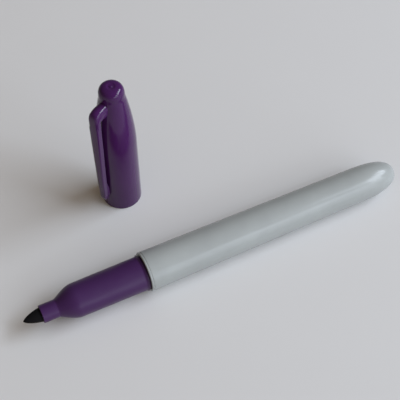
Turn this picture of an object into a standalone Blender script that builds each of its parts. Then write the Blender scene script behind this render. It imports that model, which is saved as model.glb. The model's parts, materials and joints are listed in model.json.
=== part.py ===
"""Fibre-tip marker pen lying on a table, with its cap pulled off and standing beside it.

The marker's pieces are turned about one axis that runs from the nib's point to the tail.
The cap's pieces are turned about an upright axis of their own. All lengths are in metres.
"""

import math

import bmesh
import bpy

MM = 0.001

# Barrel, from its open mouth to its rounded tail
BODY_RADIUS = 6.15 * MM          # outside of the barrel's mouth and of the cap's rim
BARREL_LENGTH = 86.38 * MM
BARREL_TAPER = 0.60 * MM         # radius lost between the mouth and the rounded tail
BARREL_WALL = 0.95 * MM
TAIL_LENGTH = 14.0 * MM
TAIL_WALL = 1.5 * MM
TAIL_POWER = 2.5                 # squareness of the rounded tail
MOUTH_ROUND = 0.60 * MM

# Nib holder, whose front is the coloured section that the cap covers
NECK_RADIUS = 2.73 * MM
NECK_LENGTH = 4.77 * MM
NECK_CHAMFER = 0.20 * MM
SHOULDER_LENGTH = 6.42 * MM
SECTION_LENGTH = 21.35 * MM
SECTION_DRAFT = 0.11 * MM        # radius lost towards the shoulder
COLLAR_HEIGHT = 0.25 * MM
COLLAR_LENGTH = 0.80 * MM
SPIGOT_LENGTH = 10.0 * MM
SPIGOT_WALL = 0.60 * MM
HOLDER_WEB = 3.0 * MM            # solid length between the shoulder and the air space
NIB_TUBE_LENGTH = 8.7 * MM
NIB_TUBE_WALL = 0.90 * MM

# Nib
NIB_RADIUS = 2.20 * MM
NIB_EXPOSED = 5.47 * MM
NIB_POINT_LENGTH = 6.0 * MM
NIB_POINT_POWER = 1.5            # squareness of the nib's point
NIB_IN_CORE = 8.0 * MM
NIB_END_CHAMFER = 0.40 * MM

# Ink core and its wrapping film
FILM_THICKNESS = 0.20 * MM

# Cap
CAP_ABOVE_NIB = 13.34 * MM       # height of the cap above the nib's point when it is on
CAP_WALL = 1.0 * MM
CAP_RIM_WALL = 0.73 * MM
CAP_RIM_ROUND = 0.12 * MM
CAP_SKIRT = 26.7 * MM            # nearly straight height above the rim
CAP_DRAFT = 0.10 * MM            # radius lost over that height
CAP_OGIVE_POWER = 1.8
CAP_DOME_RADIUS = 3.80 * MM
CAP_DOME_HEIGHT = 3.95 * MM
CAP_DOME_POWER = 3.4
CAP_CROWN = 1.6 * MM             # thickness of the dome at the top
CAP_STEP_MARGIN = 2.5 * MM       # straight bore left above the section's full radius
GATE_RADIUS = 1.15 * MM
GATE_DEPTH = 0.30 * MM
GATE_NUB_RADIUS = 0.45 * MM
GATE_NUB_HEIGHT = 0.20 * MM

# Clip, moulded in one with the cap
CLIP_GAP = 0.85 * MM             # clear space between the clip and the cap's skirt
CLIP_THICKNESS = 1.65 * MM       # at the shoulder
CLIP_TIP_THICKNESS = 1.35 * MM
CLIP_WIDTH = 3.75 * MM
CLIP_TIP_WIDTH = 2.2 * MM
CLIP_TIP_HEIGHT = 5.5 * MM       # above the cap's rim
CLIP_ROOT_DROP = 4.15 * MM       # from the cap's top down to the top of the root
CLIP_ROOT_HEIGHT = 3.6 * MM
CLIP_SHOULDER_DROP = 4.7 * MM    # from the top of the root to the clip's widest point
CLIP_SHOULDER_POWER = 4.0        # squareness of the shoulder's outline
CLIP_FILLET = 0.6 * MM
CLIP_ROOT_DEPTH = 0.65 * MM      # how far the root is sunk in the cap's wall
CLIP_NUB = 0.45 * MM             # inward bump at the tip
CLIP_NUB_LENGTH = 3.0 * MM
CLIP_NUB_PEAK = 1.0 * MM         # from the round tip up to the bump's highest point
CLIP_EDGE = 0.45 * MM            # rounding of the clip's long edges
CLIP_TURN = math.radians(206.0)

# Inner cap that seals on the shoulder
INNER_BORE = 3.3 * MM
INNER_WALL = 0.70 * MM
INNER_FLANGE = 1.0 * MM
INNER_DOME_HEIGHT = 4.5 * MM
INNER_DOME_POWER = 2.5
NIB_HEADROOM = 1.5 * MM

# Fits
SEAT_GAP = 0.30 * MM             # between faces that rest on each other
PRESS_CLEARANCE = 0.15 * MM      # around pressed pieces, on the radius
NIB_CLEARANCE = 0.10 * MM
FILM_CLEARANCE = 0.10 * MM
CAP_CLEARANCE = 0.12 * MM        # between the section and the cap's bore

# How the marker and the cap lie on the table
CAP_BEHIND_NIB = 45.05 * MM      # from the nib's point to the cap's axis, along the marker
CAP_SPACING = 33.42 * MM         # between the two axes, across the marker

# Facets
SEGMENTS = 40
END_POINTS = 10                  # along the outline of a rounded end
CURVE_POINTS = 8                 # along the outline of a shoulder or an ogive
FILLET_POINTS = 4                # along a fillet, and round the clip's tip
SHARP_ANGLE = math.radians(32.0)
WELD_DISTANCE = 1e-6             # points closer than this become one
ROUND_MIDDLE = 1.0 - math.sqrt(0.5)   # share of a quarter round's radius by which its middle lies in

# Stations along the marker, from the nib's point
neck_end = NIB_EXPOSED + NECK_LENGTH
shoulder_end = neck_end + SHOULDER_LENGTH
mouth = shoulder_end + SECTION_LENGTH
marker_length = mouth + BARREL_LENGTH
tail_start = marker_length - TAIL_LENGTH
spigot_end = mouth + SPIGOT_LENGTH
air_space = shoulder_end + HOLDER_WEB
tube_end = air_space + NIB_TUBE_LENGTH
core_start = tube_end + SEAT_GAP
nib_end = core_start + NIB_IN_CORE

# Radii that follow from the fits
cap_bore = BODY_RADIUS - CAP_RIM_WALL
section_radius = cap_bore - CAP_CLEARANCE
shoulder_radius = section_radius - SECTION_DRAFT
collar_radius = section_radius + COLLAR_HEIGHT
nib_bore = NIB_RADIUS + NIB_CLEARANCE
tail_radius = BODY_RADIUS - BARREL_TAPER
tail_bore = tail_radius - BARREL_WALL
taper_slope = BARREL_TAPER / (tail_start - mouth)

# Heights on the cap, from its rim
cap_length = mouth + CAP_ABOVE_NIB
dome_base = cap_length - CAP_DOME_HEIGHT
skirt_radius = BODY_RADIUS - CAP_DRAFT


def barrel_bore(station):
    """Radius of the tapered bore at a station on the marker's axis."""
    return BODY_RADIUS - BARREL_WALL - taper_slope * (station - mouth)


holder_bore = barrel_bore(spigot_end) - PRESS_CLEARANCE - SPIGOT_WALL
film_radius = min(holder_bore, tail_bore) - PRESS_CLEARANCE
film_bore = film_radius - FILM_THICKNESS
core_radius = film_bore - FILM_CLEARANCE


def steps(count):
    """Evenly spaced fractions from 0 to 1."""
    return [i / count for i in range(count + 1)]


def rounded_end(base, radius, height, power):
    """Points of a superellipse from its pole down to its base, as (radius, height) pairs."""
    points = []
    for fraction in steps(END_POINTS):
        angle = fraction * math.pi / 2
        r = radius * math.sin(angle) ** (2 / power)
        z = base + height * max(math.cos(angle), 0.0) ** (2 / power)
        points.append((r, z))
    points[0] = (0.0, base + height)
    points[-1] = (radius, base)
    return points


def shoulder_outline():
    """Quarter sine from the section down to the neck, rear end first."""
    points = []
    for fraction in reversed(steps(CURVE_POINTS)):
        rise = math.sin(fraction * math.pi / 2)
        r = NECK_RADIUS + (shoulder_radius - NECK_RADIUS) * rise
        points.append((r, neck_end + fraction * SHOULDER_LENGTH))
    return points


def cap_radius(height):
    """Outer radius of the cap below its dome."""
    if height <= CAP_SKIRT:
        return BODY_RADIUS - CAP_DRAFT * height / CAP_SKIRT
    fraction = (height - CAP_SKIRT) / (dome_base - CAP_SKIRT)
    return skirt_radius - (skirt_radius - CAP_DOME_RADIUS) * fraction ** CAP_OGIVE_POWER


def cap_ogive(low, inset):
    """Points down the cap's ogive from the dome to a height, set in from its outside."""
    heights = [dome_base + (low - dome_base) * fraction for fraction in steps(CURVE_POINTS)]
    return [(cap_radius(z) - inset, z) for z in heights]


def hex_colour(code):
    """Linear colour of an sRGB hex code."""
    values = [int(code[i:i + 2], 16) / 255 for i in (0, 2, 4)]
    linear = [v / 12.92 if v <= 0.04045 else ((v + 0.055) / 1.055) ** 2.4 for v in values]
    return (*linear, 1.0)


def plain_material(name, code, roughness):
    """A Principled material of one colour."""
    material = bpy.data.materials.new(name)
    material.use_nodes = True
    shader = material.node_tree.nodes["Principled BSDF"]
    shader.inputs["Base Color"].default_value = hex_colour(code)
    shader.inputs["Roughness"].default_value = roughness
    shader.inputs["Metallic"].default_value = 0.0
    return material


def turned(name, profile, parent, material):
    """A solid of revolution; the profile runs down its outside and back up its bore."""
    mesh = bpy.data.meshes.new(name)
    edges = [(i, i + 1) for i in range(len(profile) - 1)]
    if profile[0][0] > 0.0:
        edges.append((len(profile) - 1, 0))
    mesh.from_pydata([(r, 0.0, z) for r, z in profile], edges, [])
    piece = bpy.data.objects.new(name, mesh)
    parts.objects.link(piece)
    piece.parent = parent
    screw = piece.modifiers.new("Turn", "SCREW")
    screw.steps = SEGMENTS
    screw.render_steps = SEGMENTS
    screw.use_merge_vertices = True
    screw.merge_threshold = WELD_DISTANCE
    bpy.context.view_layer.objects.active = piece
    bpy.ops.object.modifier_apply(modifier=screw.name)
    mesh.shade_smooth()
    mesh.set_sharp_from_angle(angle=SHARP_ANGLE)
    mesh.materials.append(material)
    return piece


def make_barrel(axis, material):
    """Tapered tube with a rounded, closed tail."""
    outside = rounded_end(tail_start, tail_radius, TAIL_LENGTH, TAIL_POWER)
    inside = rounded_end(tail_start, tail_bore, TAIL_LENGTH - TAIL_WALL, TAIL_POWER)
    round_in = MOUTH_ROUND * ROUND_MIDDLE
    rim = [
        (BODY_RADIUS - taper_slope * MOUTH_ROUND, mouth + MOUTH_ROUND),
        (BODY_RADIUS - round_in, mouth + round_in),
        (BODY_RADIUS - MOUTH_ROUND, mouth),
        (barrel_bore(mouth), mouth),
    ]
    return turned("barrel", outside + rim + inside[::-1], axis, material)


def make_nib_holder(axis, material):
    """Section, shoulder and neck, with a spigot that is pressed into the barrel."""
    collar_back = mouth - SEAT_GAP
    collar_front = collar_back - COLLAR_LENGTH
    nib_tube = nib_bore + NIB_TUBE_WALL
    profile = [
        (holder_bore, spigot_end),
        (barrel_bore(spigot_end) - PRESS_CLEARANCE, spigot_end),
        (barrel_bore(mouth) - PRESS_CLEARANCE, collar_back),
        (collar_radius, collar_back),
        (collar_radius, collar_front + COLLAR_HEIGHT),
        (section_radius, collar_front),
    ]
    profile += shoulder_outline()
    profile += [
        (NECK_RADIUS, NIB_EXPOSED + NECK_CHAMFER),
        (NECK_RADIUS - NECK_CHAMFER, NIB_EXPOSED),
        (nib_bore, NIB_EXPOSED),
        (nib_bore, tube_end),
        (nib_tube, tube_end),
        (nib_tube, air_space),
        (holder_bore, air_space),
    ]
    return turned("nib_holder", profile, axis, material)


def make_nib(axis, material):
    """Fibre rod with a pointed end, pushed through the holder into the ink core."""
    point = rounded_end(0.0, NIB_RADIUS, NIB_POINT_LENGTH, NIB_POINT_POWER)
    profile = [
        (0.0, nib_end),
        (NIB_RADIUS - NIB_END_CHAMFER, nib_end),
        (NIB_RADIUS, nib_end - NIB_END_CHAMFER),
    ]
    profile += [(r, NIB_POINT_LENGTH - z) for r, z in reversed(point)]
    return turned("fibre_nib", profile, axis, material)


def core_end_station():
    """Where the wrapped core meets the rounded end of the bore."""
    share = (film_radius + SEAT_GAP) / tail_bore
    share = min(share, 1.0)
    reach = (1.0 - share ** TAIL_POWER) ** (1 / TAIL_POWER)
    return tail_start + reach * (TAIL_LENGTH - TAIL_WALL)


def make_ink_core(axis, material):
    """Fibre rod that holds the ink, with a socket for the nib."""
    socket_end = nib_end + SEAT_GAP
    profile = [
        (0.0, core_end_station()),
        (core_radius, core_end_station()),
        (core_radius, core_start),
        (nib_bore, core_start),
        (nib_bore, socket_end),
        (0.0, socket_end),
    ]
    return turned("ink_core", profile, axis, material)


def make_core_film(axis, material):
    """Thin wrapping round the ink core, open at both ends."""
    profile = [
        (film_bore, core_end_station()),
        (film_radius, core_end_station()),
        (film_radius, core_start),
        (film_bore, core_start),
    ]
    return turned("core_film", profile, axis, material)


def clip_outline():
    """Side outline of the clip as (distance from the cap's axis, height) pairs."""
    root_top = cap_length - CLIP_ROOT_DROP
    root_low = root_top - CLIP_ROOT_HEIGHT
    widest = root_top - CLIP_SHOULDER_DROP
    inner = BODY_RADIUS + CLIP_GAP
    outer = inner + CLIP_THICKNESS
    tip_outer = inner + CLIP_TIP_THICKNESS
    tip_radius = CLIP_TIP_THICKNESS / 2
    root_out = cap_radius(root_top) - CLIP_ROOT_DEPTH
    power = 2 / CLIP_SHOULDER_POWER
    points = [(cap_radius(root_low) - CLIP_ROOT_DEPTH, root_low)]
    for fraction in steps(CURVE_POINTS):
        angle = fraction * math.pi / 2
        reach = root_out + (outer - root_out) * math.sin(angle) ** power
        points.append((reach, widest + CLIP_SHOULDER_DROP * math.cos(angle) ** power))
    for fraction in steps(FILLET_POINTS):
        angle = fraction * math.pi
        reach = tip_outer - tip_radius + tip_radius * math.cos(angle)
        points.append((reach, CLIP_TIP_HEIGHT + tip_radius * (1.0 - math.sin(angle))))
    points.append((inner - CLIP_NUB, CLIP_TIP_HEIGHT + tip_radius + CLIP_NUB_PEAK))
    points.append((inner, CLIP_TIP_HEIGHT + tip_radius + CLIP_NUB_LENGTH))
    for fraction in steps(FILLET_POINTS):
        angle = fraction * math.pi / 2
        reach = inner - CLIP_FILLET * (1.0 - math.cos(angle))
        points.append((reach, root_low - CLIP_FILLET * (1.0 - math.sin(angle))))
    return points


def make_clip(axis):
    """Clip as a mesh that narrows towards its tip; it is joined to the cap's shell."""
    outline = clip_outline()
    curve = bpy.data.curves.new("clip_outline", "CURVE")
    curve.dimensions = "2D"
    curve.fill_mode = "BOTH"
    curve.extrude = CLIP_WIDTH / 2 - CLIP_EDGE
    curve.bevel_depth = CLIP_EDGE
    curve.offset = -CLIP_EDGE
    curve.bevel_resolution = 1
    spline = curve.splines.new("POLY")
    spline.points.add(len(outline) - 1)
    for point, (reach, height) in zip(spline.points, outline):
        point.co = (reach, height, 0.0, 1.0)
    spline.use_cyclic_u = True
    guide = bpy.data.objects.new("clip_outline", curve)
    cutters.objects.link(guide)
    bpy.context.view_layer.update()
    depsgraph = bpy.context.evaluated_depsgraph_get()
    mesh = bpy.data.meshes.new_from_object(guide.evaluated_get(depsgraph))
    bpy.data.objects.remove(guide)
    work = bmesh.new()
    work.from_mesh(mesh)
    bmesh.ops.remove_doubles(work, verts=work.verts, dist=WELD_DISTANCE)
    widest = cap_length - CLIP_ROOT_DROP - CLIP_SHOULDER_DROP
    for vertex in work.verts:
        fraction = (widest - vertex.co.y) / (widest - CLIP_TIP_HEIGHT)
        fraction = min(max(fraction, 0.0), 1.0)
        vertex.co.z *= 1.0 + fraction * (CLIP_TIP_WIDTH / CLIP_WIDTH - 1.0)
    work.to_mesh(mesh)
    work.free()
    clip = bpy.data.objects.new("clip", mesh)
    cutters.objects.link(clip)
    clip.parent = axis
    clip.rotation_euler = (math.pi / 2, 0.0, CLIP_TURN)
    clip.hide_render = True
    clip.display_type = "WIRE"
    return clip


def make_cap_shell(axis, material):
    """Hollow cap with its gate mark on top and the clip on its side."""
    gate_floor = cap_length - GATE_DEPTH
    gate_bevel = GATE_DEPTH / 2
    bore_step = SECTION_LENGTH + CAP_STEP_MARGIN
    collar_bore = collar_radius + CAP_CLEARANCE
    collar_depth = SEAT_GAP + COLLAR_LENGTH + CAP_CLEARANCE
    dome = rounded_end(dome_base, CAP_DOME_RADIUS, CAP_DOME_HEIGHT, CAP_DOME_POWER)
    cavity_height = CAP_DOME_HEIGHT - CAP_CROWN
    cavity = rounded_end(dome_base, CAP_DOME_RADIUS - CAP_WALL, cavity_height, CAP_DOME_POWER)
    profile = [
        (0.0, gate_floor + GATE_NUB_HEIGHT),
        (GATE_NUB_RADIUS, gate_floor + GATE_NUB_HEIGHT),
        (GATE_NUB_RADIUS, gate_floor),
        (GATE_RADIUS - gate_bevel, gate_floor),
    ]
    profile += [(r, z) for r, z in dome[:-1] if r > GATE_RADIUS - gate_bevel / 2]
    profile += cap_ogive(CAP_SKIRT, 0.0)
    profile += [
        (BODY_RADIUS, CAP_RIM_ROUND),
        (BODY_RADIUS - CAP_RIM_ROUND, 0.0),
        (collar_bore, 0.0),
        (collar_bore, collar_depth),
        (cap_bore, collar_depth + COLLAR_HEIGHT),
        (cap_bore, bore_step),
    ]
    profile += cap_ogive(bore_step, CAP_WALL)[::-1]
    profile += cavity[-2::-1]
    shell = turned("cap_shell", profile, axis, material)
    union = shell.modifiers.new("Clip", "BOOLEAN")
    union.operation = "UNION"
    union.solver = "EXACT"
    union.object = make_clip(axis)
    return shell


def seal_height():
    """Height in the cap at which the inner cap's mouth meets the shoulder."""
    rise = (INNER_BORE - NECK_RADIUS) / (shoulder_radius - NECK_RADIUS)
    reach = math.asin(rise) / (math.pi / 2) * SHOULDER_LENGTH
    return mouth - neck_end - reach + SEAT_GAP


def make_inner_cap(axis, material):
    """Thimble with a flange at its mouth, pressed into the cap to seal round the nib."""
    low = seal_height()
    flange_top = low + INNER_FLANGE
    radius = INNER_BORE + INNER_WALL
    crown = mouth + NIB_HEADROOM + INNER_WALL
    base = crown - INNER_DOME_HEIGHT
    dome = rounded_end(base, radius, INNER_DOME_HEIGHT, INNER_DOME_POWER)
    void = rounded_end(base, INNER_BORE, INNER_DOME_HEIGHT - INNER_WALL, INNER_DOME_POWER)
    inset = CAP_WALL + PRESS_CLEARANCE
    flange = [
        (radius, flange_top),
        (cap_radius(flange_top) - inset, flange_top),
        (cap_radius(low) - inset, low),
        (INNER_BORE, low),
    ]
    return turned("inner_cap", dome + flange + void[::-1], axis, material)


def add_axis(name, location, turn):
    """An empty that carries the pieces turned about one axis."""
    empty = bpy.data.objects.new(name, None)
    empty.location = location
    empty.rotation_euler = turn
    parts.objects.link(empty)
    return empty


def clear_scene():
    """Removes what a new file starts with."""
    for item in list(bpy.data.objects):
        bpy.data.objects.remove(item)


clear_scene()
parts = bpy.data.collections.new("marker_pen")
cutters = bpy.data.collections.new("marker_pen_cutters")
bpy.context.scene.collection.children.link(parts)
bpy.context.scene.collection.children.link(cutters)

# The tapered barrel lies on its lowest line, so the marker's axis dips towards the tail
dip = math.atan(taper_slope)
nib_x = -marker_length * math.cos(dip) / 2
nib_height = BODY_RADIUS * math.cos(dip) + mouth * math.sin(dip)
marker_axis = add_axis(
    "marker_axis", (nib_x, -CAP_SPACING / 2, nib_height), (0.0, math.pi / 2 + dip, 0.0))
cap_axis = add_axis("cap_axis", (nib_x + CAP_BEHIND_NIB, CAP_SPACING / 2, 0.0), (0.0, 0.0, 0.0))

barrel_plastic = plain_material("barrel polypropylene", "989ea0", 0.30)
purple_plastic = plain_material("section polypropylene", "432655", 0.32)
cap_plastic = plain_material("cap polypropylene", "452056", 0.20)
inner_plastic = plain_material("inner cap polyethylene", "cfcfcb", 0.45)
nib_fibre = plain_material("bonded nib fibre", "141017", 0.85)
core_fibre = plain_material("inked core fibre", "2c1c45", 0.90)
film_plastic = plain_material("core film", "c9c6d2", 0.25)

make_barrel(marker_axis, barrel_plastic)
make_nib_holder(marker_axis, purple_plastic)
make_nib(marker_axis, nib_fibre)
make_ink_core(marker_axis, core_fibre)
make_core_film(marker_axis, film_plastic)
make_cap_shell(cap_axis, cap_plastic)
make_inner_cap(cap_axis, inner_plastic)
bpy.context.view_layer.update()
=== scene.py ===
"""Finished looks of a fibre-tip marker pen that lies uncapped beside its standing cap.

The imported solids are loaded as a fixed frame. One operator for each piece models it as a fine
mesh, gives it its material and lets it ride on the body that it belongs to. The marker's pieces
are modelled upright, with the nib's point at the origin, and then laid down on their axis.
"""

import json
import math

import bpy
from bpy.props import FloatProperty, FloatVectorProperty, IntProperty, PointerProperty
from bpy.types import Operator, Panel, PropertyGroup
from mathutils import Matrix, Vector

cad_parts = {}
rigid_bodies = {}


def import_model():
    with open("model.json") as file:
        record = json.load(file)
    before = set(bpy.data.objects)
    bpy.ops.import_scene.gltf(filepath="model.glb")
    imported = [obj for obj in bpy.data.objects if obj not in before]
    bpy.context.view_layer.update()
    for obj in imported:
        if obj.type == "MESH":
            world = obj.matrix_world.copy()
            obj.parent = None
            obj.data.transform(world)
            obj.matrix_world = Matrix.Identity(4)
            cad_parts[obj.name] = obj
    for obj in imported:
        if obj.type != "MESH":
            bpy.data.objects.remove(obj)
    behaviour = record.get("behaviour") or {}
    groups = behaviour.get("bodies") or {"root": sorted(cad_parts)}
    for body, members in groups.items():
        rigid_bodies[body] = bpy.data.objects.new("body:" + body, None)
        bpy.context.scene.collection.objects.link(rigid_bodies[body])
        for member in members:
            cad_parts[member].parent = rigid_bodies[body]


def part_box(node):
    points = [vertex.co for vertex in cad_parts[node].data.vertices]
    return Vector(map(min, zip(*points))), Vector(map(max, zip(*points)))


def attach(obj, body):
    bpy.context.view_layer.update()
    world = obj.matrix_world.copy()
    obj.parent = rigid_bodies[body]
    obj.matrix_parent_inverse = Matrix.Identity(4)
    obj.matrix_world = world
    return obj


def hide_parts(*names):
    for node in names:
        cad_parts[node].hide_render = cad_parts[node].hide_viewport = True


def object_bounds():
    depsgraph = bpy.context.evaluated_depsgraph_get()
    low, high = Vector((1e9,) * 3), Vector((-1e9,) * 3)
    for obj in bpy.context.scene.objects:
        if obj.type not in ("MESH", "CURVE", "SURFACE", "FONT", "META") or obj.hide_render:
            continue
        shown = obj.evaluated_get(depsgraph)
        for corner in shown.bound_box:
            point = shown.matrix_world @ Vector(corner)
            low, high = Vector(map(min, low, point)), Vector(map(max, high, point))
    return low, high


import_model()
cad_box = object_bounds()

bl_info = {
    "name": "Marker Pen Finish",
    "version": (1, 0, 0),
    "blender": (4, 5, 0),
    "location": "View3D > Sidebar > Marker Pen",
    "description": "Models and finishes a fibre-tip marker pen and its clip cap",
    "category": "Add Mesh",
}

MM = 0.001
WELD_DISTANCE = 0.001 * MM
SHARP_ANGLE = math.radians(35.0)
QUARTER_TURN = math.pi / 2

# Places that the frame gives
barrel_low, barrel_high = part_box("barrel")
nib_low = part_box("fibre_nib")[0]
cap_low, cap_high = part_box("cap_shell")
inner_low, inner_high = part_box("inner_cap")
cap_foot = Vector(((inner_low.x + inner_high.x) / 2, (inner_low.y + inner_high.y) / 2, cap_low.z))


def length(name, description, millimetres):
    """A size that a user can change, given in millimetres and kept in metres."""
    return FloatProperty(
        name=name, description=description, default=millimetres * MM, min=0.0,
        unit="LENGTH", precision=5)


def degrees(name, description, angle):
    """A direction or a tilt that a user can change, given in degrees and kept in radians."""
    return FloatProperty(name=name, description=description, default=math.radians(angle), subtype="ANGLE")


def squareness(name, description, power):
    """The power of a rounded outline that a user can change."""
    return FloatProperty(name=name, description=description, default=power, min=1.0)


def watts(name, description, power):
    """The power of a lamp that a user can change."""
    return FloatProperty(name=name, description=description, default=power, min=0.0, unit="POWER")


def linear(code):
    """Linear colour of an sRGB hex code."""
    values = [int(code[i:i + 2], 16) / 255 for i in (0, 2, 4)]
    return [v / 12.92 if v <= 0.04045 else ((v + 0.055) / 1.055) ** 2.4 for v in values]


def colour(name, description, code):
    """A colour that a user can change."""
    return FloatVectorProperty(
        name=name, description=description, default=linear(code), min=0.0, max=1.0,
        size=3, subtype="COLOR")


class BarrelSizes(PropertyGroup):
    """Sizes of the grey barrel"""

    mouth_radius: length("Mouth radius", "Outside of the barrel's open end",
                         (barrel_high.y - barrel_low.y) / 2 / MM)
    taper: length("Taper", "Radius lost between the mouth and the rounded tail", 0.60)
    wall: length("Wall", "Thickness of the tube", 0.95)
    tail_length: length("Tail length", "Length of the rounded tail", 14.0)
    tail_wall: length("Tail wall", "Thickness of the closed end", 1.5)
    tail_power: squareness("Tail squareness", "Power of the tail's outline", 2.5)
    mouth_round: length("Mouth round", "Rounding of the mouth's outer edge", 0.25)
    bore_round: length("Bore round", "Rounding of the mouth's inner edge", 0.12)
    bead_length: length("Bead length", "From the mouth to the fine groove behind its bead", 0.70)
    groove_width: length("Groove width", "Width of that groove", 0.30)
    groove_depth: length("Groove depth", "Depth of that groove", 0.12)


class HolderSizes(PropertyGroup):
    """Sizes of the coloured nib holder"""

    neck_radius: length("Neck radius", "Outside of the neck that grips the nib", 2.73)
    neck_length: length("Neck length", "Length of the neck", 4.77)
    neck_round: length("Neck round", "Rounding of the neck's mouth", 0.20)
    shoulder_length: length("Shoulder length", "Length of the rounded shoulder", 6.42)
    shoulder_power: squareness("Shoulder hollow", "Power of the shoulder's outline", 1.15)
    section_length: length("Section length", "From the shoulder to the barrel's mouth", 21.35)
    section_radius: length("Section radius", "Outside of the section at its collar", 5.30)
    section_draft: length("Section draft", "Radius lost towards the shoulder", 0.11)
    collar_height: length("Collar height", "Height to which the section's collar flares", 0.40)
    collar_length: length("Collar length", "Length of the flare", 0.75)
    collar_gap: length("Collar gap", "Dark gap between the collar and the barrel's mouth", 0.65)
    seat_gap: length("Seat gap", "Space between seated pieces", 0.30)
    spigot_length: length("Spigot length", "Length pressed into the barrel", 10.0)
    spigot_wall: length("Spigot wall", "Thickness of the spigot's end", 0.60)
    press_clearance: length("Press clearance", "Space round the pressed spigot", 0.15)
    web: length("Web", "Solid length between the shoulder and the air space", 3.0)
    tube_length: length("Tube length", "Length of the inner tube that guides the nib", 8.7)
    tube_wall: length("Tube wall", "Thickness of that tube", 0.90)
    edge_round: length("Edge round", "Rounding of the other edges", 0.10)


class NibSizes(PropertyGroup):
    """Sizes of the nib, the ink core and the core's film"""

    radius: length("Radius", "Outside of the fibre rod", 2.20)
    exposed: length("Exposed length", "From the neck's mouth to the point", 5.47)
    point_length: length("Point length", "Length of the tapered point", 6.0)
    point_power: squareness("Point squareness", "Power of the point's outline", 1.5)
    in_core: length("Length in the core", "Depth pushed into the ink core", 8.0)
    end_chamfer: length("End chamfer", "Chamfer of the hidden end", 0.40)
    clearance: length("Clearance", "Space round the nib in the holder", 0.10)
    felt: length("Felt", "Height of the felt's unevenness", 0.025)
    film: length("Film", "Thickness of the film round the ink core", 0.20)
    film_clearance: length("Film clearance", "Space between the core and its film", 0.10)


class CapSizes(PropertyGroup):
    """Sizes of the cap and of the inner cap pressed into it"""

    wall: length("Wall", "Thickness of the cap", 1.0)
    rim_wall: length("Rim wall", "Thickness of the skirt round the bore", 0.73)
    rim_round: length("Rim round", "Rounding of the rim on which the cap stands", 0.20)
    skirt: length("Skirt", "Nearly straight height above the rim", 26.7)
    draft: length("Draft", "Radius lost over that height", 0.10)
    ogive_power: squareness("Ogive power", "Power of the cap's narrowing", 1.8)
    dome_radius: length("Dome radius", "Radius where the dome begins", 3.80)
    dome_height: length("Dome height", "Height of the dome", 3.95)
    dome_power: squareness("Dome squareness", "Power of the dome's outline", 3.4)
    crown: length("Crown", "Thickness of the dome at the top", 1.6)
    bore_margin: length("Bore margin", "Straight bore above the section's length", 2.5)
    bore_clearance: length("Bore clearance", "Space between the section and the bore", 0.12)
    gate_radius: length("Gate radius", "Radius of the dimple on top", 1.15)
    gate_depth: length("Gate depth", "Depth of that dimple", 0.16)
    nub_radius: length("Nub radius", "Radius of the moulding nub in the dimple", 0.45)
    nub_height: length("Nub height", "Height of that nub", 0.12)
    inner_bore: length("Inner cap bore", "Bore of the inner cap", 3.3)
    inner_wall: length("Inner cap wall", "Thickness of the inner cap", 0.70)
    inner_flange: length("Inner cap flange", "Thickness of its flange", 1.0)
    inner_dome: length("Inner cap dome", "Height of its dome", 4.5)
    inner_power: squareness("Inner cap squareness", "Power of its dome", 2.5)


class ClipSizes(PropertyGroup):
    """Sizes of the clip, which is moulded in one with the cap"""

    gap: length("Gap", "Space between the clip and the skirt's radius at the clip's root", 0.90)
    tip_gap: length("Tip gap", "The same space where the rounded tip begins", 0.95)
    thickness: length("Thickness", "Thickness of the clip at its root", 1.80)
    width: length("Width", "Width at the shoulder", 3.40)
    tip_width: length("Tip width", "Width where the rounded tip begins", 2.20)
    tip_height: length("Tip height", "Height of the tip above the rim", 5.5)
    tip_length: length("Tip length", "Length of the rounded tip", 2.4)
    root_drop: length("Root drop", "From the cap's top down to the root's top", 4.15)
    root_height: length("Root height", "Height of the root", 3.6)
    root_depth: length("Root depth", "Depth of the root in the cap's wall", 0.65)
    shoulder_drop: length("Shoulder drop", "From the root's top to the widest point", 4.7)
    shoulder_power: squareness("Shoulder squareness", "Power of the shoulder's outline", 4.0)
    shoulder_edge: length("Shoulder edge", "Rounding of the shoulder's long edges", 1.65)
    edge: length("Edge", "Rounding of the outer long edges", 0.45)
    edge_run: length("Edge run", "Length over which the shoulder's rounding fades into the edge's", 3.0)
    inner_edge: length("Inner edge", "Rounding of the inner long edges", 0.12)
    crown: length("Crown", "Height of the outer face's middle above its edges", 0.08)
    fillet: length("Fillet", "Radius under the root", 0.30)
    bend_height: length("Bend height", "Height above the rim at which the clip bends inwards", 14.5)
    bend_run: length("Bend run", "Height over which it bends", 4.5)
    bend: length("Bend", "Inward bend of the clip's end", 0.22)
    nub: length("Nub", "Inward bump on the clip's end", 0.66)
    turn: degrees("Turn", "Direction of the clip round the cap's axis", 206.0)


class FinishColours(PropertyGroup):
    """Colours of the pieces"""

    barrel: colour("Barrel", "Pale grey moulded polypropylene", "9ba1a2")
    section: colour("Section", "Purple moulded polypropylene of the nib holder", "3f2350")
    cap: colour("Cap", "Purple moulded polypropylene of the cap", "411d51")
    nib: colour("Nib", "Bonded fibre soaked with ink", "0a080a")
    core: colour("Core", "Fibre bundle soaked with ink", "33204f")
    film: colour("Film", "Clear film round the core", "e4e1ec")
    inner_cap: colour("Inner cap", "Natural polyethylene", "d6d6d1")
    table: colour("Table", "Pale table top", "d2d4d6")


def lamp(label, power, width, height, distance, turn, rise):
    """Settings of one rectangular lamp, from millimetres and degrees."""
    return {
        "power": watts("Power", f"Power of the {label}", power),
        "width": length("Width", f"Width of the {label}", width),
        "height": length("Height", f"Height of the {label}", height),
        "distance": length("Distance", f"From the object to the {label}", distance),
        "turn": degrees("Turn", f"Direction of the {label}, right of the view", turn),
        "rise": degrees("Rise", f"Height of the {label} above level", rise),
    }


class WindowLight(PropertyGroup):
    """Long window at the right"""

    __annotations__ = lamp("window", power=29.5, width=1500.0, height=580.0, distance=1800.0,
                           turn=86.0, rise=42.0)


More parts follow.
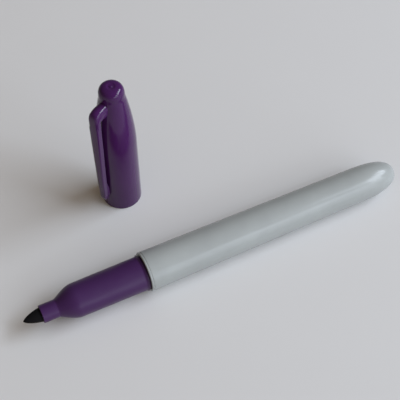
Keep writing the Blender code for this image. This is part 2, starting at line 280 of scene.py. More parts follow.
class LowSoftbox(PropertyGroup):
    """Low softbox at the front right"""

    __annotations__ = lamp("softbox", power=9.0, width=1500.0, height=800.0, distance=2200.0,
                           turn=140.0, rise=9.0)


class SidePane(PropertyGroup):
    """Small pane beside the window"""

    __annotations__ = lamp("pane", power=10.0, width=1300.0, height=500.0, distance=2000.0,
                           turn=120.0, rise=26.0)


class StageSettings(PropertyGroup):
    """Camera, room light and mesh fineness"""

    segments: IntProperty(name="Segments", description="Facets round a turned piece", default=128, min=24)
    curve_points: IntProperty(name="Curve points", description="Points along a curved outline",
                              default=28, min=6)
    round_steps: IntProperty(name="Round steps", description="Facets across a rounded edge",
                             default=4, min=1)
    focal_length: FloatProperty(name="Focal length", description="Lens for a 36 mm wide sensor",
                                default=91.7, unit="CAMERA")
    camera_place: FloatVectorProperty(name="Camera place", description="Where the camera stands",
                                      default=(-0.0778, -0.1635, 0.2653), subtype="TRANSLATION")
    camera_pitch: degrees("Camera pitch", "Downward tilt from level", 55.0)
    camera_turn: degrees("Camera turn", "Turn to the right of the row's +Y", 26.12)
    light_tint: colour("Light tint", "Colour of the daylight", "e8f2ff")
    fill_bright: FloatProperty(name="Fill, bright side", description="Light from the room's bright side",
                               default=0.56, min=0.0)
    fill_end: degrees("Fill end", "Angle from the bright side at which the fill ends", 145.0)
    fill_turn: degrees("Fill turn", "Direction of the bright side, right of the view", 120.0)
    fill_rise: degrees("Fill rise", "Height of the bright side above level", 15.0)
    fill_tint: colour("Fill tint", "Colour of the room's light", "ffe4c4")
    horizon: colour("Horizon", "Colour of the backdrop at the horizon", "85878a")
    overhead: colour("Overhead", "Colour of the backdrop overhead", "505153")


class MarkerPen(PropertyGroup):
    """All settings of the marker pen"""

    barrel: PointerProperty(type=BarrelSizes)
    holder: PointerProperty(type=HolderSizes)
    nib: PointerProperty(type=NibSizes)
    cap: PointerProperty(type=CapSizes)
    clip: PointerProperty(type=ClipSizes)
    colours: PointerProperty(type=FinishColours)
    window: PointerProperty(type=WindowLight)
    softbox: PointerProperty(type=LowSoftbox)
    pane: PointerProperty(type=SidePane)
    stage: PointerProperty(type=StageSettings)


class Stations:
    """Distances along the marker from the nib's point, and the radii that follow from the fits."""

    def __init__(self, pen):
        barrel, holder, nib, cap = pen.barrel, pen.holder, pen.nib, pen.cap
        self.neck_front = nib.exposed
        self.neck_end = self.neck_front + holder.neck_length
        self.shoulder_end = self.neck_end + holder.shoulder_length
        self.mouth = self.shoulder_end + holder.section_length
        self.tail_end = barrel_high.x - nib_low.x
        self.tail_start = self.tail_end - barrel.tail_length
        self.spigot_end = self.mouth + holder.spigot_length
        self.air_space = self.shoulder_end + holder.web
        self.tube_end = self.air_space + holder.tube_length
        self.core_start = self.tube_end + holder.seat_gap
        self.nib_end = self.core_start + nib.in_core
        self.slope = barrel.taper / (self.tail_start - self.mouth)
        self.mouth_bore = barrel.mouth_radius - barrel.wall
        self.spigot_bore = self.mouth_bore - self.slope * holder.spigot_length
        self.tail_radius = barrel.mouth_radius - barrel.taper
        self.tail_bore = self.tail_radius - barrel.wall
        self.shoulder_radius = holder.section_radius - holder.section_draft
        self.collar_radius = holder.section_radius + holder.collar_height
        self.nib_bore = nib.radius + nib.clearance
        self.holder_bore = self.spigot_bore - holder.press_clearance - holder.spigot_wall
        self.film_radius = min(self.holder_bore, self.tail_bore) - holder.press_clearance
        self.film_bore = self.film_radius - nib.film
        self.core_radius = self.film_bore - nib.film_clearance
        self.cap_top = cap_high.z - cap_low.z
        self.dome_base = self.cap_top - cap.dome_height
        self.dip = math.atan(self.slope)
        axis_height = barrel.mouth_radius * math.cos(self.dip) + self.mouth * math.sin(self.dip)
        axis_side = (barrel_low.y + barrel_high.y) / 2
        self.nib_point = Vector((nib_low.x, axis_side, barrel_low.z + axis_height))


def steps(count):
    """Evenly spaced fractions from 0 to 1."""
    return [i / count for i in range(count + 1)]


def rounded_end(base, radius, height, power, count):
    """Superellipse from its pole down to its base, as (radius, height) pairs."""
    points = [(0.0, base + height)]
    for fraction in steps(count)[1:-1]:
        angle = fraction * QUARTER_TURN
        out, up = math.sin(angle) ** (2 / power), math.cos(angle) ** (2 / power)
        points.append((radius * out, base + height * up))
    points.append((radius, base))
    return points


def cap_radius(pen, at, height):
    """Outer radius of the cap below its dome."""
    cap = pen.cap
    rim_radius = pen.barrel.mouth_radius
    if height <= cap.skirt:
        return rim_radius - cap.draft * height / cap.skirt
    skirt_radius = rim_radius - cap.draft
    fraction = (height - cap.skirt) / (at.dome_base - cap.skirt)
    return skirt_radius - (skirt_radius - cap.dome_radius) * fraction ** cap.ogive_power


def cap_ogive(pen, at, low, inset):
    """Points down the cap's narrowing from the dome to a height, set in from its outside."""
    heights = [at.dome_base + (low - at.dome_base) * fraction for fraction in steps(pen.stage.curve_points)]
    return [(cap_radius(pen, at, height) - inset, height) for height in heights]


def open_mesh(name):
    """A new mesh object, open for editing with one small plane in it."""
    bpy.ops.object.select_all(action="DESELECT")
    bpy.ops.mesh.primitive_plane_add(size=MM)
    piece = bpy.context.active_object
    piece.name = name
    piece.data.name = name
    bpy.ops.object.mode_set(mode="EDIT")
    bpy.ops.mesh.select_mode(type="VERT")
    return piece


def pick_points(piece, wanted):
    """Selects the points of the mesh in edit whose place is wanted."""
    bpy.ops.mesh.select_all(action="DESELECT")
    bpy.ops.object.mode_set(mode="OBJECT")
    for point in piece.data.vertices:
        point.select = wanted(point.co)
    bpy.ops.object.mode_set(mode="EDIT")


def draw_outline(name, outline):
    """Draws an outline of (radius, height) pairs by extruding one point from corner to corner."""
    piece = open_mesh(name)
    bpy.ops.mesh.merge(type="CENTER")
    places = [Vector((radius, 0.0, height)) for radius, height in outline]
    bpy.ops.transform.translate(value=places[0])
    for place, following in zip(places, places[1:]):
        bpy.ops.mesh.extrude_region_move(TRANSFORM_OT_translate={"value": following - place})
    if places[0].x > 0.0:
        ends = (places[0], places[-1])
        pick_points(piece, lambda co: min((co - end).length for end in ends) < WELD_DISTANCE)
        bpy.ops.mesh.edge_face_add()
    return piece


def round_corners(piece, corners, facets):
    """Rounds corners of a drawn outline, each given as (radius, height, rounding)."""
    for radius, height, rounding in corners:
        corner = Vector((radius, 0.0, height))
        pick_points(piece, lambda co: (co - corner).length < WELD_DISTANCE)
        bpy.ops.mesh.bevel(offset=rounding, segments=facets, affect="VERTICES")


def turn_outline(piece, segments):
    """Spins a drawn outline round the upright axis into a closed body."""
    bpy.ops.mesh.select_all(action="SELECT")
    bpy.ops.mesh.spin(steps=segments, angle=2 * math.pi, center=(0, 0, 0), axis=(0, 0, 1))
    bpy.ops.mesh.select_all(action="SELECT")
    bpy.ops.mesh.remove_doubles(threshold=WELD_DISTANCE)
    bpy.ops.mesh.normals_make_consistent(inside=False)
    bpy.ops.object.mode_set(mode="OBJECT")


def turned_piece(pen, name, outline, corners=()):
    """Draws an outline, rounds the given corners of it and spins it into a closed body."""
    piece = draw_outline(name, outline)
    round_corners(piece, corners, pen.stage.round_steps)
    turn_outline(piece, pen.stage.segments)
    return piece


def apply_modifiers(piece):
    """Applies every modifier of a piece in order."""
    bpy.context.view_layer.objects.active = piece
    for modifier in list(piece.modifiers):
        bpy.ops.object.modifier_apply(modifier=modifier.name)


def smooth(piece):
    """Smooth shading that keeps sharp edges and lets the large faces set the normals."""
    bpy.ops.object.select_all(action="DESELECT")
    piece.select_set(True)
    bpy.context.view_layer.objects.active = piece
    bpy.ops.object.shade_smooth_by_angle(angle=SHARP_ANGLE)
    weighted = piece.modifiers.new("Weighted normals", "WEIGHTED_NORMAL")
    weighted.keep_sharp = True
    apply_modifiers(piece)


def settle(piece, at, material, body, node):
    """Puts a finished piece where its body is, with its material and body, and hides its CAD node."""
    if not piece.data.polygons:
        raise RuntimeError(f"{piece.name} has no faces")
    smooth(piece)
    if body == "marker":
        piece.location = at.nib_point
        piece.rotation_euler = (0.0, QUARTER_TURN + at.dip, 0.0)
    else:
        piece.location = cap_foot
    bpy.ops.object.transform_apply()
    piece.data.materials.clear()
    piece.data.materials.append(material)
    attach(piece, body)
    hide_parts(node)


def set_inputs(tree, node, values=None, links=None):
    """Gives a node its input values and the outputs that feed its other inputs."""
    for name, value in (values or {}).items():
        node.inputs[name].default_value = value
    for name, source in (links or {}).items():
        tree.links.new(source, node.inputs[name])


def add_node(tree, kind, settings=None, values=None, links=None):
    """Adds a node with its settings, its input values and its links."""
    made = tree.nodes.new(kind)
    for name, value in (settings or {}).items():
        setattr(made, name, value)
    set_inputs(tree, made, values, links)
    return made


def per_metre(millimetres):
    """Texture scale at which one cell of a pattern is that wide."""
    return 1.0 / (millimetres * MM)


def uneven_pigment(tree, place, cell, base, spread, detail, low=0.0, high=1.0, roughness=0.5):
    """Pattern of cells that wide in millimetres, and the base colour made darker and lighter by it."""
    cloud = add_node(tree, "ShaderNodeTexNoise", links={"Vector": place},
                     values={"Scale": per_metre(cell), "Detail": detail, "Roughness": roughness})
    ramp = add_node(tree, "ShaderNodeValToRGB", links={"Fac": cloud.outputs["Fac"]})
    stops = ((low, 1.0 - spread), (high, 1.0 + spread))
    for element, (position, factor) in zip(ramp.color_ramp.elements, stops):
        element.position = position
        element.color = [*[min(value * factor, 1.0) for value in base], 1.0]
    return cloud.outputs["Fac"], ramp.outputs["Color"]


def new_material(name):
    """An empty node material, its tree, its shader and the object's own coordinates."""
    material = bpy.data.materials.new(name)
    material.use_nodes = True
    tree = material.node_tree
    place = add_node(tree, "ShaderNodeTexCoord").outputs["Object"]
    return material, tree, tree.nodes["Principled BSDF"], place


# Polypropylene, injection moulded in a polished mould. The eye sees a satin gloss with soft edges,
# slightly cloudy pigment, dull smudges from handling and hairlines along the draw direction.
PP_IOR = 1.49
CLOUD_MM = 11.0
SMUDGE_MM = 5.0
SMUDGE_LESS, SMUDGE_MORE = 0.04, 0.07   # roughness that smudges take off and add
GRAIN_MM = 0.55       # the mould's grain is finer; it is drawn this coarse so that it shows
HAIRLINE_MM = 0.30
HAIRLINE_STRETCH = 60.0


def moulded_polypropylene(name, base, gloss, shine, along):
    """Satin moulded plastic; shine is its specular level and along the axis on which its hairlines run."""
    material, tree, shader, place = new_material(name)
    _, tone = uneven_pigment(tree, place, CLOUD_MM, base, spread=0.05, detail=3.0, low=0.3, high=0.7)
    smudge = add_node(tree, "ShaderNodeTexNoise",
                      values={"Scale": per_metre(SMUDGE_MM), "Detail": 5.0, "Roughness": 0.6},
                      links={"Vector": place})
    dull = add_node(tree, "ShaderNodeMapRange",
                    values={"From Min": 0.3, "From Max": 0.7,
                            "To Min": gloss - SMUDGE_LESS, "To Max": gloss + SMUDGE_MORE},
                    links={"Value": smudge.outputs["Fac"]})
    grain = add_node(tree, "ShaderNodeTexNoise", values={"Scale": per_metre(GRAIN_MM), "Detail": 2.0},
                     links={"Vector": place})
    stretch = [1.0 if axis != along else 1.0 / HAIRLINE_STRETCH for axis in "XYZ"]
    drawn = add_node(tree, "ShaderNodeMapping", values={"Scale": stretch}, links={"Vector": place})
    hairline = add_node(tree, "ShaderNodeTexNoise", values={"Scale": per_metre(HAIRLINE_MM), "Detail": 1.0},
                        links={"Vector": drawn.outputs["Vector"]})
    scratch = add_node(tree, "ShaderNodeMapRange", values={"From Min": 0.68, "From Max": 0.78},
                       links={"Value": hairline.outputs["Fac"]})
    scratched = add_node(tree, "ShaderNodeBump", settings={"invert": True},
                         values={"Strength": 0.08, "Distance": 0.02 * MM},
                         links={"Height": scratch.outputs["Result"]})
    grained = add_node(tree, "ShaderNodeBump", values={"Strength": 0.025, "Distance": 0.03 * MM},
                       links={"Height": grain.outputs["Fac"], "Normal": scratched.outputs["Normal"]})
    set_inputs(tree, shader, values={"IOR": PP_IOR, "Specular IOR Level": shine},
               links={"Base Color": tone, "Roughness": dull.outputs["Result"],
                      "Normal": grained.outputs["Normal"]})
    return material


# Acrylic fibre bonded into a rod. The eye sees a dull dark felt, with fibres that run along it.
FIBRE_MM = 0.16       # single fibres are finer; bundles of them show
FIBRE_STRETCH = 25.0
FELT_MM = 0.5         # unevenness of the felt's surface


def bonded_fibre(name, base, spread):
    """Fibres bonded side by side and soaked with ink."""
    material, tree, shader, place = new_material(name)
    drawn = add_node(tree, "ShaderNodeMapping", values={"Scale": (1.0 / FIBRE_STRETCH, 1.0, 1.0)},
                     links={"Vector": place})
    fibre, tone = uneven_pigment(tree, drawn.outputs["Vector"], FIBRE_MM, base, spread, detail=3.0,
                                 low=0.35, high=0.75, roughness=0.65)
    raised = add_node(tree, "ShaderNodeBump", values={"Strength": 0.5, "Distance": 0.06 * MM},
                      links={"Height": fibre})
    set_inputs(tree, shader, values={"Roughness": 0.85, "IOR": 1.45, "Specular IOR Level": 0.25},
               links={"Base Color": tone, "Normal": raised.outputs["Normal"]})
    return material


# Natural polyethylene, injection moulded. The eye sees a milky, waxy plastic that lets light through.
MILK_MM = 3.0


def natural_polyethylene(name, base):
    """Milky unpigmented plastic."""
    material, tree, shader, place = new_material(name)
    milk, tone = uneven_pigment(tree, place, MILK_MM, base, spread=0.06, detail=3.0)
    dull = add_node(tree, "ShaderNodeMapRange", values={"To Min": 0.38, "To Max": 0.52},
                    links={"Value": milk})
    set_inputs(tree, shader,
               values={"Subsurface Weight": 0.3, "Subsurface Scale": 1.0 * MM, "IOR": 1.51},
               links={"Base Color": tone, "Roughness": dull.outputs["Result"]})
    return material


# Polypropylene film, cast and wrapped round the core. The eye sees clear film with faint wrinkles.
WRINKLE_MM = 1.6


def wrapping_film(name, base):
    """Thin clear film."""
    material, tree, shader, place = new_material(name)
    wrinkle, tone = uneven_pigment(tree, place, WRINKLE_MM, base, spread=0.04, detail=2.0)
    raised = add_node(tree, "ShaderNodeBump", values={"Strength": 0.4, "Distance": 0.05 * MM},
                      links={"Height": wrinkle})
    set_inputs(tree, shader, values={"Roughness": 0.15, "IOR": PP_IOR, "Transmission Weight": 0.85},
               links={"Base Color": tone, "Normal": raised.outputs["Normal"]})
    return material


class MARKERPEN_OT_barrel(Operator):
    """Models the tapered grey tube with its rounded tail"""

    bl_idname = "marker_pen.barrel"
    bl_label = "Barrel"

    def execute(self, context):
        pen = context.scene.marker_pen
        at = Stations(pen)
        sizes = pen.barrel
        count = pen.stage.curve_points
        outside = rounded_end(at.tail_start, at.tail_radius, sizes.tail_length, sizes.tail_power, count)
        inside = rounded_end(
            at.tail_start, at.tail_bore, sizes.tail_length - sizes.tail_wall, sizes.tail_power, count)
        groove_side = sizes.groove_width / 2
        groove = [
            (sizes.mouth_radius - at.slope * sizes.bead_length - depth, at.mouth + sizes.bead_length + side)
            for side, depth in ((groove_side, 0.0), (0.0, sizes.groove_depth), (-groove_side, 0.0))
        ]
        rim = [(sizes.mouth_radius, at.mouth), (at.mouth_bore, at.mouth)]
        corners = [(*rim[0], sizes.mouth_round), (*rim[1], sizes.bore_round)]
        piece = turned_piece(pen, "barrel_tube", outside + groove + rim + inside[::-1], corners)
        material = moulded_polypropylene(
            "pale grey moulded polypropylene", pen.colours.barrel, gloss=0.20, shine=0.32, along="X")
        settle(piece, at, material, "marker", "barrel")
        return {"FINISHED"}


class MARKERPEN_OT_nib_holder(Operator):
    """Models the coloured section with its shoulder, neck, collar and spigot"""

    bl_idname = "marker_pen.nib_holder"
    bl_label = "Nib holder"

    def execute(self, context):
        pen = context.scene.marker_pen
        at = Stations(pen)
        sizes = pen.holder
        collar_back = at.mouth - sizes.collar_gap
        collar_front = collar_back - sizes.collar_length
        tube_radius = at.nib_bore + sizes.tube_wall
        outline = [
            (at.holder_bore, at.spigot_end),
            (at.spigot_bore - sizes.press_clearance, at.spigot_end),
            (at.mouth_bore - sizes.press_clearance, collar_back),
        ]
        for fraction in reversed(steps(2 * pen.stage.round_steps)):
            outline.append((sizes.section_radius + sizes.collar_height * fraction ** 2,
                            collar_front + sizes.collar_length * fraction))
        for fraction in reversed(steps(pen.stage.curve_points)):
            rise = math.sin(fraction * QUARTER_TURN) ** sizes.shoulder_power
            radius = sizes.neck_radius + (at.shoulder_radius - sizes.neck_radius) * rise
            outline.append((radius, at.neck_end + fraction * sizes.shoulder_length))
        outline += [
            (sizes.neck_radius, at.neck_front),
            (at.nib_bore, at.neck_front),
            (at.nib_bore, at.tube_end),
            (tube_radius, at.tube_end),
            (tube_radius, at.air_space),
            (at.holder_bore, at.air_space),
        ]
        corners = [
            (*outline[1], sizes.edge_round),
            (*outline[3], sizes.edge_round),
            (sizes.neck_radius, at.neck_front, sizes.neck_round),
            (at.nib_bore, at.neck_front, sizes.edge_round),
        ]
        piece = turned_piece(pen, "section_and_neck", outline, corners)
        material = moulded_polypropylene(
            "purple moulded polypropylene", pen.colours.section, gloss=0.34, shine=0.26, along="X")
        settle(piece, at, material, "marker", "nib_holder")
        return {"FINISHED"}


class MARKERPEN_OT_nib(Operator):
    """Models the fibre nib with its bullet point"""

    bl_idname = "marker_pen.nib"
    bl_label = "Nib"

    def execute(self, context):
        pen = context.scene.marker_pen
        at = Stations(pen)
        sizes = pen.nib
        count = pen.stage.curve_points
        point = rounded_end(0.0, sizes.radius, sizes.point_length, sizes.point_power, count)
        outline = [
            (0.0, at.nib_end),
            (sizes.radius - sizes.end_chamfer, at.nib_end),
            (sizes.radius, at.nib_end - sizes.end_chamfer),
        ]
        outline += [(radius, sizes.point_length - height) for radius, height in reversed(point)]
        piece = turned_piece(pen, "bullet_nib", outline)
        felt = bpy.data.textures.new("felt", "CLOUDS")
        felt.noise_scale = FELT_MM * MM
        uneven = piece.modifiers.new("Felt", "DISPLACE")
        uneven.texture = felt
        uneven.strength = sizes.felt
        uneven.mid_level = 1.0
        apply_modifiers(piece)
        material = bonded_fibre("ink-soaked bonded fibre", pen.colours.nib, spread=0.5)
        settle(piece, at, material, "marker", "fibre_nib")
        return {"FINISHED"}


class MARKERPEN_OT_ink_core(Operator):
    """Models the fibre core that holds the ink, and the film round it"""

    bl_idname = "marker_pen.ink_core"
    bl_label = "Ink core and film"

    def execute(self, context):
        pen = context.scene.marker_pen
        at = Stations(pen)
        barrel = pen.barrel
        gap = pen.holder.seat_gap
        share = min((at.film_radius + gap) / at.tail_bore, 1.0)
        reach = (1.0 - share ** barrel.tail_power) ** (1 / barrel.tail_power)
        core_end = at.tail_start + reach * (barrel.tail_length - barrel.tail_wall)
        core = [
            (0.0, core_end),
            (at.core_radius, core_end),
            (at.core_radius, at.core_start),
            (at.nib_bore, at.core_start),
            (at.nib_bore, at.nib_end + gap),
            (0.0, at.nib_end + gap),
        ]
        film = [
            (at.film_bore, core_end),
            (at.film_radius, core_end),
            (at.film_radius, at.core_start),
            (at.film_bore, at.core_start),
        ]
        corners = [(*place, pen.holder.edge_round) for place in core[1:3]]
        piece = turned_piece(pen, "ink_rod", core, corners)
        material = bonded_fibre("ink-soaked fibre bundle", pen.colours.core, spread=0.6)
        settle(piece, at, material, "marker", "ink_core")
        piece = turned_piece(pen, "film_sleeve", film)
        material = wrapping_film("cast polypropylene film", pen.colours.film)
        settle(piece, at, material, "marker", "core_film")
        return {"FINISHED"}


# Shares that shape the clip's sections
TIP_SHARE = 0.4                             # of the tip's width, left at its very end
ROUND_LIMIT = 0.45                          # of a section's side, at most taken by a rounding
CROWN_CUTS = 3
CROWN_STEPS = ((0.6, 0.75), (0.1, 0.25))    # of the half width that is lifted, and of the crown's height


def ease(fraction):
    """Smooth step from 0 to 1."""
    held = min(max(fraction, 0.0), 1.0)
    return held * held * (3.0 - 2.0 * held)


def clip_shoulder(pen, at):
    """Sections round the clip's shoulder, as (inner point, outer point, width, edge, crown)."""
    clip = pen.clip
    root_top = at.cap_top - clip.root_drop
    root_low = root_top - clip.root_height
    widest = root_top - clip.shoulder_drop
    inner = pen.barrel.mouth_radius + clip.gap
    root_reach = cap_radius(pen, at, root_top) - clip.root_depth
    low_reach = cap_radius(pen, at, root_low) - clip.root_depth
    reach = inner + clip.thickness - root_reach
    corner = inner - clip.fillet
    power = 2 / clip.shoulder_power
    sections = []
    for fraction in steps(pen.stage.curve_points):
        angle = fraction * QUARTER_TURN
        over = Vector((root_reach + reach * math.sin(angle) ** power, 0,
                       widest + clip.shoulder_drop * math.cos(angle) ** power))
        along = min(2.0 * fraction, 1.0)
        bend = max(2.0 * fraction - 1.0, 0.0) * QUARTER_TURN
        under = Vector((low_reach + (corner - low_reach) * along + clip.fillet * math.sin(bend), 0,
                        root_low - clip.fillet * (1.0 - math.cos(bend))))
        sections.append((under, over, clip.width, clip.shoulder_edge, 0.0))
    return sections


def clip_arm(pen, at):
    """Sections down the clip's arm to its rounded tip, in the same form."""
    clip = pen.clip
    inner = pen.barrel.mouth_radius + clip.gap
    start = at.cap_top - clip.root_drop - clip.root_height - clip.fillet
    stop = clip.tip_height + clip.tip_length
    sections = []
    for fraction in steps(2 * pen.stage.curve_points)[1:]:
        height = start + (stop - start) * fraction
        bent = ease((clip.bend_height - height) / clip.bend_run)
        width = clip.width + (clip.tip_width - clip.width) * fraction
        settled = ease((start - height) / clip.edge_run)
        edge = clip.shoulder_edge + (clip.edge - clip.shoulder_edge) * settled
        gap_growth = (clip.tip_gap - clip.gap) * fraction
        under = Vector((inner + gap_growth - (clip.bend + clip.nub) * bent, 0, height))
        over = Vector((inner + clip.thickness - clip.bend * bent, 0, height))
        sections.append((under, over, width, edge, clip.crown * settled))
    centre = (under + over) / 2
    half = (over - under) / 2
    for fraction in steps(pen.stage.curve_points // 2)[1:-1]:
        angle = fraction * QUARTER_TURN
        drop = Vector((0, 0, clip.tip_length * math.sin(angle)))
        shrink = math.cos(angle)
        width = clip.tip_width * (TIP_SHARE + (1.0 - TIP_SHARE) * shrink)
        sections.append((centre - half * shrink - drop, centre + half * shrink - drop,
                         width, clip.edge, clip.crown * shrink))
    return sections


def add_section(clip, under, over, width, edges, crown, facets):
    """Adds one section of the clip, with its corners rounded and its outer side crowned."""
    centre = (under + over) / 2
    across = over - under
    bpy.ops.mesh.primitive_plane_add(size=1.0, location=centre)
    bpy.ops.transform.resize(value=(across.length, width, 1.0), center_override=centre)
    for side, edge in zip((1, -1), edges):
        corners = [centre + Vector((side * across.length, end * width, 0)) / 2 for end in (-1, 1)]
        pick_points(clip, lambda co: min((co - corner).length for corner in corners) < WELD_DISTANCE)
        most = ROUND_LIMIT * min(across.length, width)
        bpy.ops.mesh.bevel(offset=min(edge, most), segments=facets, affect="VERTICES")
    top = centre.x + across.length / 2
    pick_points(clip, lambda co: abs(co.x - top) < WELD_DISTANCE and abs(co.z - centre.z) < WELD_DISTANCE)
    reach = max(abs(point.co.y) for point in clip.data.vertices if point.select)
    bpy.ops.mesh.subdivide(number_cuts=CROWN_CUTS)
    for share, lift in CROWN_STEPS:
        pick_points(clip, lambda co: co.x > top - WELD_DISTANCE and abs(co.y) < share * reach
                    and abs(co.z - centre.z) < WELD_DISTANCE)
        bpy.ops.transform.translate(value=(lift * crown, 0.0, 0.0))
    bpy.ops.mesh.select_linked()
    bpy.ops.transform.rotate(value=math.atan2(across.z, across.x), orient_axis="Y", center_override=centre)


def model_clip(pen, at):
    """Bridges rounded sections into the clip, as a body that reaches into the cap's wall."""
    clip = open_mesh("clip")
    bpy.ops.mesh.delete(type="VERT")
    for under, over, width, edge, crown in clip_shoulder(pen, at) + clip_arm(pen, at):
        add_section(clip, under, over, width, (edge, pen.clip.inner_edge), crown, pen.stage.round_steps)
    bpy.ops.mesh.select_all(action="SELECT")
    bpy.ops.mesh.delete(type="ONLY_FACE")
    bpy.ops.mesh.select_all(action="SELECT")
    bpy.ops.mesh.bridge_edge_loops()
    bpy.ops.mesh.select_all(action="SELECT")
    bpy.ops.mesh.fill_holes(sides=0)
    bpy.ops.mesh.select_all(action="SELECT")
    bpy.ops.mesh.normals_make_consistent(inside=False)
    bpy.ops.object.mode_set(mode="OBJECT")
    clip.rotation_euler = (0.0, 0.0, pen.clip.turn)
    bpy.ops.object.transform_apply()
    return clip


class MARKERPEN_OT_cap(Operator):
    """Models the cap with its gate mark and its clip"""

    bl_idname = "marker_pen.cap"
    bl_label = "Cap with clip"

    def execute(self, context):
        pen = context.scene.marker_pen
        at = Stations(pen)
        sizes, holder, count = pen.cap, pen.holder, pen.stage.curve_points
        rim_radius = pen.barrel.mouth_radius
        bore = rim_radius - sizes.rim_wall
        bore_top = holder.section_length + sizes.bore_margin
        collar_bore = at.collar_radius + sizes.bore_clearance
        collar_depth = holder.collar_gap + holder.collar_length + sizes.bore_clearance
        gate_floor = at.cap_top - sizes.gate_depth
        dome = rounded_end(at.dome_base, sizes.dome_radius, sizes.dome_height, sizes.dome_power, count)
        cavity = rounded_end(at.dome_base, sizes.dome_radius - sizes.wall,
                             sizes.dome_height - sizes.crown, sizes.dome_power, count)
        gate = [
            (0.0, gate_floor + sizes.nub_height),
            (sizes.nub_radius, gate_floor + sizes.nub_height),
            (sizes.nub_radius, gate_floor),
            (sizes.gate_radius - sizes.gate_depth / 2, gate_floor),
        ]
        lip = [(radius, height) for radius, height in dome[:-1] if radius > sizes.gate_radius]
        outside = cap_ogive(pen, at, sizes.skirt, 0.0)
        rim = [
            (rim_radius, 0.0),
            (collar_bore, 0.0),
            (collar_bore, collar_depth),
            (bore, collar_depth + holder.collar_height),
            (bore, bore_top),
        ]
        inside = cap_ogive(pen, at, bore_top, sizes.wall)[::-1] + cavity[-2::-1]
        corners = [
            (*gate[1], sizes.nub_height / 2),
            (*lip[0], sizes.gate_depth / 2),
            (*rim[0], sizes.rim_round),
            (*rim[1], holder.edge_round),
        ]
        piece = turned_piece(pen, "clip_cap", gate + lip + outside + rim + inside, corners)
        clip = model_clip(pen, at)
        union = piece.modifiers.new("Clip", "BOOLEAN")
        union.operation = "UNION"
        union.solver = "EXACT"
        union.object = clip
        apply_modifiers(piece)
        bpy.data.objects.remove(clip)
        material = moulded_polypropylene(
            "glossy purple moulded polypropylene", pen.colours.cap, gloss=0.06, shine=0.32, along="Z")
        settle(piece, at, material, "cap", "cap_shell")
        return {"FINISHED"}


class MARKERPEN_OT_inner_cap(Operator):
    """Models the thimble in the cap that seals round the nib"""

    bl_idname = "marker_pen.inner_cap"
    bl_label = "Inner cap"

    def execute(self, context):
        pen = context.scene.marker_pen
        at = Stations(pen)
        sizes, count = pen.cap, pen.stage.curve_points
        low = inner_low.z - cap_low.z
        crown = inner_high.z - cap_low.z
        flange_top = low + sizes.inner_flange
        radius = sizes.inner_bore + sizes.inner_wall
        base = crown - sizes.inner_dome
        dome = rounded_end(base, radius, sizes.inner_dome, sizes.inner_power, count)
        void = rounded_end(
            base, sizes.inner_bore, sizes.inner_dome - sizes.inner_wall, sizes.inner_power, count)
        inset = sizes.wall + pen.holder.press_clearance
        flange = [
            (radius, flange_top),
            (cap_radius(pen, at, flange_top) - inset, flange_top),
            (cap_radius(pen, at, low) - inset, low),
            (sizes.inner_bore, low),
        ]
        corners = [(*place, pen.holder.edge_round) for place in flange[1:]]
        piece = turned_piece(pen, "seal_thimble", dome + flange + void[::-1], corners)
        material = natural_polyethylene("natural moulded polyethylene", pen.colours.inner_cap)
        settle(piece, at, material, "cap", "inner_cap")
        return {"FINISHED"}


# Table top with a satin lacquer. The eye sees an even pale grey with barely any grain.
LACQUER_MM = 25.0


def lacquered_board(name, base):
    """Pale table top."""
    material, tree, shader, place = new_material(name)
    _, tone = uneven_pigment(tree, place, LACQUER_MM, base, spread=0.01, detail=4.0)
    set_inputs(tree, shader, values={"Roughness": 0.55, "Specular IOR Level": 0.25},
               links={"Base Color": tone})
    return material


TABLE_RADIUS = 4.0
TABLE_SIDES = 96
SENSOR_WIDTH = 36.0
NEAREST_SEEN = 1.0 * MM
FARTHEST_SEEN = 100.0
OVERHEAD_HEIGHT = 0.5       # share of the way up at which the backdrop has its overhead colour


def direction_from_view(stage, turn, rise):
    """Unit vector at an angle right of the view and another above level."""
    heading = QUARTER_TURN - stage.camera_turn - turn
    return Vector((math.cos(rise) * math.cos(heading), math.cos(rise) * math.sin(heading), math.sin(rise)))


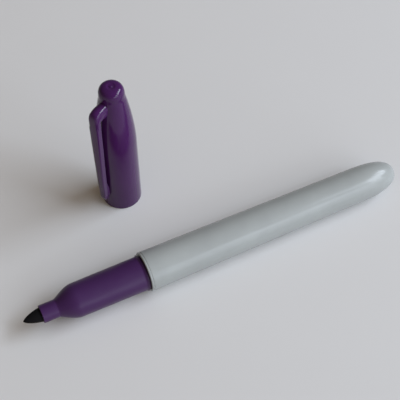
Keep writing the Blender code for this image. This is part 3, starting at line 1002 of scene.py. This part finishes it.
class MARKERPEN_OT_stage(Operator):
    """Sets up the table top, the light and the camera"""

    bl_idname = "marker_pen.stage"
    bl_label = "Stage"

    def execute(self, context):
        pen = context.scene.marker_pen
        stage = pen.stage
        scene = context.scene
        self.add_table(pen)
        self.add_light(stage, "window_light", pen.window)
        self.add_light(stage, "low_softbox", pen.softbox)
        self.add_light(stage, "side_pane", pen.pane)
        self.light_room(scene, stage)
        self.add_camera(scene, stage)
        scene.view_settings.view_transform = "Standard"
        return {"FINISHED"}

    def add_table(self, pen):
        """A wide round table top at the height on which the object rests."""
        bpy.ops.object.select_all(action="DESELECT")
        bpy.ops.mesh.primitive_circle_add(vertices=TABLE_SIDES, radius=TABLE_RADIUS, fill_type="NGON",
                                          location=(0.0, 0.0, cad_box[0].z))
        table = bpy.context.active_object
        table.name = "table_top"
        bpy.ops.object.transform_apply()
        table.data.materials.append(lacquered_board("pale lacquered board", pen.colours.table))

    def add_light(self, stage, name, settings):
        """A rectangular light that faces the object from a direction right of the view."""
        toward = direction_from_view(stage, settings.turn, settings.rise)
        bpy.ops.object.light_add(type="AREA", location=toward * settings.distance)
        light = bpy.context.active_object
        light.name = name
        light.rotation_euler = toward.to_track_quat("Z", "Y").to_euler()
        light.data.shape = "RECTANGLE"
        light.data.size, light.data.size_y = settings.width, settings.height
        light.data.energy = settings.power
        light.data.color = stage.light_tint

    def light_room(self, scene, stage):
        """Soft light from the room, which the camera and reflections see as the pale backdrop."""
        world = bpy.data.worlds.new("room")
        scene.world = world
        world.use_nodes = True
        tree = world.node_tree
        room = tree.nodes["Background"]
        room.inputs["Color"].default_value = [*stage.fill_tint, 1.0]
        direction = add_node(tree, "ShaderNodeTexCoord").outputs["Generated"]
        bright_side = direction_from_view(stage, stage.fill_turn, stage.fill_rise)
        facing = add_node(tree, "ShaderNodeVectorMath", settings={"operation": "DOT_PRODUCT"},
                          values={1: bright_side}, links={0: direction})
        level = add_node(tree, "ShaderNodeMapRange",
                         values={"From Min": math.cos(stage.fill_end), "To Max": stage.fill_bright},
                         links={"Value": facing.outputs["Value"]})
        tree.links.new(level.outputs["Result"], room.inputs["Strength"])
        height = add_node(tree, "ShaderNodeSeparateXYZ", links={"Vector": direction}).outputs["Z"]
        sweep = add_node(tree, "ShaderNodeValToRGB", links={"Fac": height})
        sweep.color_ramp.elements[0].color = [*stage.horizon, 1.0]
        sweep.color_ramp.elements[1].color = [*stage.overhead, 1.0]
        sweep.color_ramp.elements[1].position = OVERHEAD_HEIGHT
        backdrop = add_node(tree, "ShaderNodeBackground", values={"Strength": 1.0},
                            links={"Color": sweep.outputs["Color"]})
        path = add_node(tree, "ShaderNodeLightPath")
        seen = add_node(tree, "ShaderNodeMath", settings={"operation": "MAXIMUM"},
                        links={0: path.outputs["Is Camera Ray"], 1: path.outputs["Is Glossy Ray"]})
        shown = add_node(tree, "ShaderNodeMath", settings={"operation": "MAXIMUM"},
                         links={0: seen.outputs["Value"], 1: path.outputs["Is Transmission Ray"]})
        mixed = add_node(tree, "ShaderNodeMixShader",
                         links={0: shown.outputs["Value"], 1: room.outputs["Background"],
                                2: backdrop.outputs["Background"]})
        tree.links.new(mixed.outputs["Shader"], tree.nodes["World Output"].inputs["Surface"])

    def add_camera(self, scene, stage):
        """The photograph's point of view."""
        bpy.ops.object.camera_add(
            location=stage.camera_place,
            rotation=(QUARTER_TURN - stage.camera_pitch, 0.0, -stage.camera_turn))
        camera = bpy.context.active_object
        camera.data.lens = stage.focal_length
        camera.data.sensor_width = SENSOR_WIDTH
        camera.data.clip_start = NEAREST_SEEN
        camera.data.clip_end = FARTHEST_SEEN
        scene.camera = camera


class MARKERPEN_PT_panel(Panel):
    """Sizes, colours and steps of the marker pen"""

    bl_idname = "MARKERPEN_PT_panel"
    bl_label = "Marker Pen"
    bl_space_type = "VIEW_3D"
    bl_region_type = "UI"
    bl_category = "Marker Pen"

    def draw(self, context):
        pen = context.scene.marker_pen
        for step in STEPS:
            self.layout.operator(step.bl_idname)
        for part in pen.__annotations__:
            group = getattr(pen, part)
            box = self.layout.box()
            box.label(text=group.bl_rna.name)
            for name in group.__annotations__:
                box.prop(group, name)


GROUPS = (BarrelSizes, HolderSizes, NibSizes, CapSizes, ClipSizes, FinishColours, WindowLight, LowSoftbox,
          SidePane, StageSettings, MarkerPen)
STEPS = (MARKERPEN_OT_barrel, MARKERPEN_OT_nib_holder, MARKERPEN_OT_nib, MARKERPEN_OT_ink_core,
         MARKERPEN_OT_cap, MARKERPEN_OT_inner_cap, MARKERPEN_OT_stage)
CLASSES = (*GROUPS, *STEPS, MARKERPEN_PT_panel)


def register():
    for item in CLASSES:
        bpy.utils.register_class(item)
    bpy.types.Scene.marker_pen = PointerProperty(type=MarkerPen)


def unregister():
    del bpy.types.Scene.marker_pen
    for item in reversed(CLASSES):
        bpy.utils.unregister_class(item)


def main():
    register()
    bpy.ops.marker_pen.barrel()
    bpy.ops.marker_pen.nib_holder()
    bpy.ops.marker_pen.nib()
    bpy.ops.marker_pen.ink_core()
    bpy.ops.marker_pen.cap()
    bpy.ops.marker_pen.inner_cap()
    bpy.ops.marker_pen.stage()


if __name__ == "__main__":
    main()
